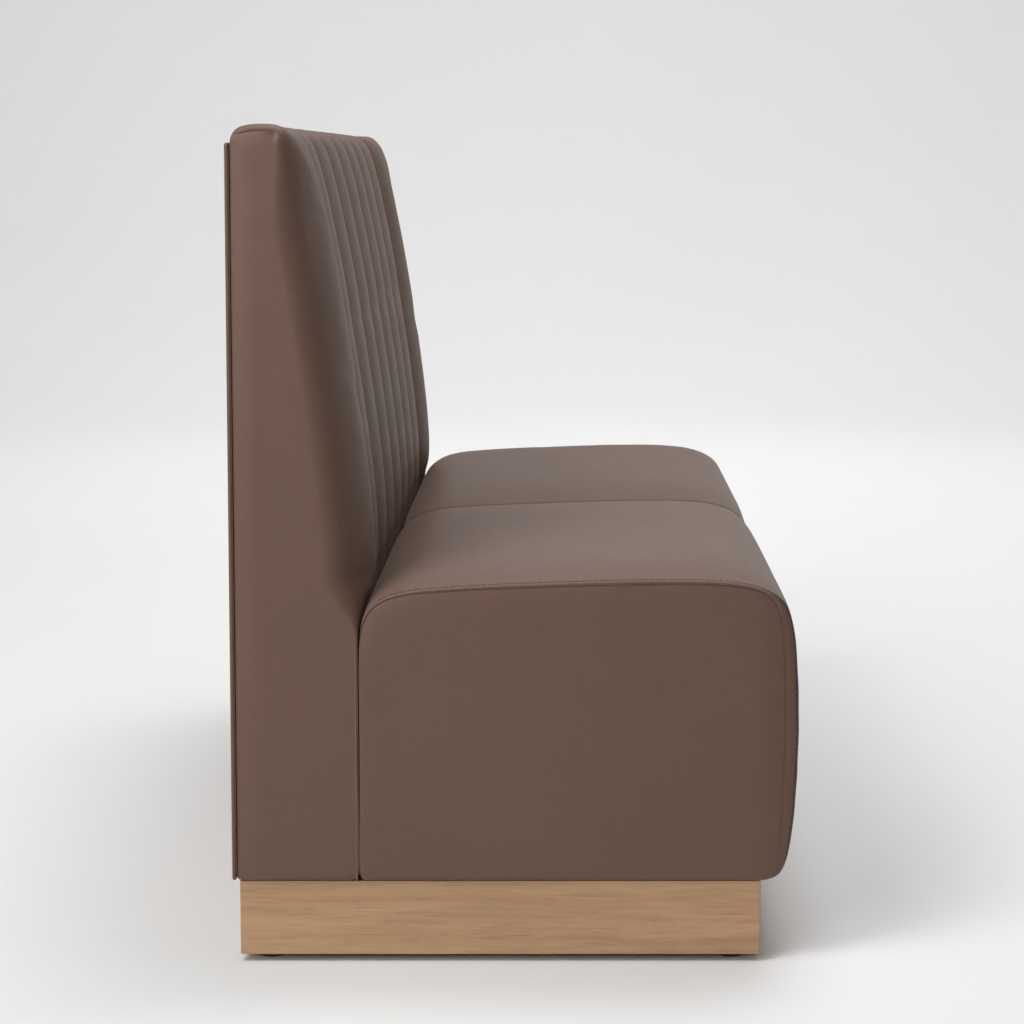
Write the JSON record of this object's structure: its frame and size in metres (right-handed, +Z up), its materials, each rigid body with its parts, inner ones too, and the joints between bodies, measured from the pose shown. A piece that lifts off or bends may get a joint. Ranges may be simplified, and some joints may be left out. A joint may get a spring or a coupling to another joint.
{
  "type": "restaurant booth bench",
  "caption": "Upholstered restaurant booth bench: padded waterfall seats, high channelled back, oak plinth, adjustable levelling feet.",
  "frame": {"origin": "bottom centre of the whole bench, on the floor under the feet", "axes": "+X along the bench, to the right of someone who looks at its front; -Y is the way the sitter faces, so +Y is the outside back; +Z up"},
  "size_m": [1.524, 0.726, 1.0682],
  "materials": {
    "seat_leather": "matte",
    "back_leather": "matte",
    "welt_leather": "matte",
    "oak": "satin",
    "plywood": "matte",
    "softwood": "matte",
    "hardboard": "matte",
    "foam": "matte",
    "cambric": "matte",
    "zinc_steel": "satin",
    "black_nylon": "satin"
  },
  "bodies": {
    "bench": {"back_channel_foams": "foam", "back_front_board": "plywood", "back_front_cover": "back_leather", "back_left_end_panel": "back_leather", "back_left_end_rib": "plywood", "back_lower_board": "plywood", "back_lumbar_rail": "softwood", "back_middle_ribs": "plywood", "back_right_end_panel": "back_leather", "back_right_end_rib": "plywood", "back_side_foams": "foam", "back_to_seat_bolts": "zinc_steel", "back_to_seat_tee_nuts": "zinc_steel", "back_top_rail": "softwood", "dust_covers": "cambric", "end_welts": "welt_leather", "joining_plate_screws": "zinc_steel", "joining_plates": "zinc_steel", "leveller_inserts": "zinc_steel", "outside_back_board": "hardboard", "outside_back_clips": "black_nylon", "outside_back_cover": "back_leather", "plinth_cross_ribs": "plywood", "plinth_front_board": "oak", "plinth_left_board": "oak", "plinth_leveller_blocks": "softwood", "plinth_rear_board": "oak", "plinth_right_board": "oak", "seat_left_centre_rib": "plywood", "seat_left_cover": "seat_leather", "seat_left_deck": "plywood", "seat_left_end_panel": "seat_leather", "seat_left_foam": "foam", "seat_left_front_board": "plywood", "seat_left_front_foam": "foam", "seat_left_inner_board": "plywood", "seat_left_outer_board": "plywood", "seat_left_rear_board": "plywood", "seat_right_centre_rib": "plywood", "seat_right_cover": "seat_leather", "seat_right_deck": "plywood", "seat_right_end_panel": "seat_leather", "seat_right_foam": "foam", "seat_right_front_board": "plywood", "seat_right_front_foam": "foam", "seat_right_inner_board": "plywood", "seat_right_outer_board": "plywood", "seat_right_rear_board": "plywood"},
    "pad_front_left": {"leveller_pad_front_left": "black_nylon"},
    "screw_front_left": {"leveller_stem_front_left": "zinc_steel"},
    "pad_front_centre": {"leveller_pad_front_centre": "black_nylon"},
    "screw_front_centre": {"leveller_stem_front_centre": "zinc_steel"},
    "pad_front_right": {"leveller_pad_front_right": "black_nylon"},
    "screw_front_right": {"leveller_stem_front_right": "zinc_steel"},
    "pad_rear_left": {"leveller_pad_rear_left": "black_nylon"},
    "screw_rear_left": {"leveller_stem_rear_left": "zinc_steel"},
    "pad_rear_centre": {"leveller_pad_rear_centre": "black_nylon"},
    "screw_rear_centre": {"leveller_stem_rear_centre": "zinc_steel"},
    "pad_rear_right": {"leveller_pad_rear_right": "black_nylon"},
    "screw_rear_right": {"leveller_stem_rear_right": "zinc_steel"}
  },
  "joints": [
    {"name": "pad_front_left_drop", "type": "slide", "parent": "bench", "child": "pad_front_left", "axis": [0, 0, -1], "range_m": [0, 0.018]},
    {"name": "screw_front_left_turn", "type": "hinge", "parent": "pad_front_left", "child": "screw_front_left", "pos_m": [-0.7195, -0.2765, 0.03], "axis": [0, 0, -1], "range_deg": [0, 4320]},
    {"name": "pad_front_centre_drop", "type": "slide", "parent": "bench", "child": "pad_front_centre", "axis": [0, 0, -1], "range_m": [0, 0.018]},
    {"name": "screw_front_centre_turn", "type": "hinge", "parent": "pad_front_centre", "child": "screw_front_centre", "pos_m": [0, -0.2765, 0.03], "axis": [0, 0, -1], "range_deg": [0, 4320]},
    {"name": "pad_front_right_drop", "type": "slide", "parent": "bench", "child": "pad_front_right", "axis": [0, 0, -1], "range_m": [0, 0.018]},
    {"name": "screw_front_right_turn", "type": "hinge", "parent": "pad_front_right", "child": "screw_front_right", "pos_m": [0.7195, -0.2765, 0.03], "axis": [0, 0, -1], "range_deg": [0, 4320]},
    {"name": "pad_rear_left_drop", "type": "slide", "parent": "bench", "child": "pad_rear_left", "axis": [0, 0, -1], "range_m": [0, 0.018]},
    {"name": "screw_rear_left_turn", "type": "hinge", "parent": "pad_rear_left", "child": "screw_rear_left", "pos_m": [-0.7195, 0.3165, 0.03], "axis": [0, 0, -1], "range_deg": [0, 4320]},
    {"name": "pad_rear_centre_drop", "type": "slide", "parent": "bench", "child": "pad_rear_centre", "axis": [0, 0, -1], "range_m": [0, 0.018]},
    {"name": "screw_rear_centre_turn", "type": "hinge", "parent": "pad_rear_centre", "child": "screw_rear_centre", "pos_m": [0, 0.3165, 0.03], "axis": [0, 0, -1], "range_deg": [0, 4320]},
    {"name": "pad_rear_right_drop", "type": "slide", "parent": "bench", "child": "pad_rear_right", "axis": [0, 0, -1], "range_m": [0, 0.018]},
    {"name": "screw_rear_right_turn", "type": "hinge", "parent": "pad_rear_right", "child": "screw_rear_right", "pos_m": [0.7195, 0.3165, 0.03], "axis": [0, 0, -1], "range_deg": [0, 4320]}
  ],
  "couplings": [
    {"joint": "screw_front_left_turn", "follows": "pad_front_left_drop", "rad_per_m": 4188.8},
    {"joint": "screw_front_centre_turn", "follows": "pad_front_centre_drop", "rad_per_m": 4188.8},
    {"joint": "screw_front_right_turn", "follows": "pad_front_right_drop", "rad_per_m": 4188.8},
    {"joint": "screw_rear_left_turn", "follows": "pad_rear_left_drop", "rad_per_m": 4188.8},
    {"joint": "screw_rear_centre_turn", "follows": "pad_rear_centre_drop", "rad_per_m": 4188.8},
    {"joint": "screw_rear_right_turn", "follows": "pad_rear_right_drop", "rad_per_m": 4188.8}
  ]
}
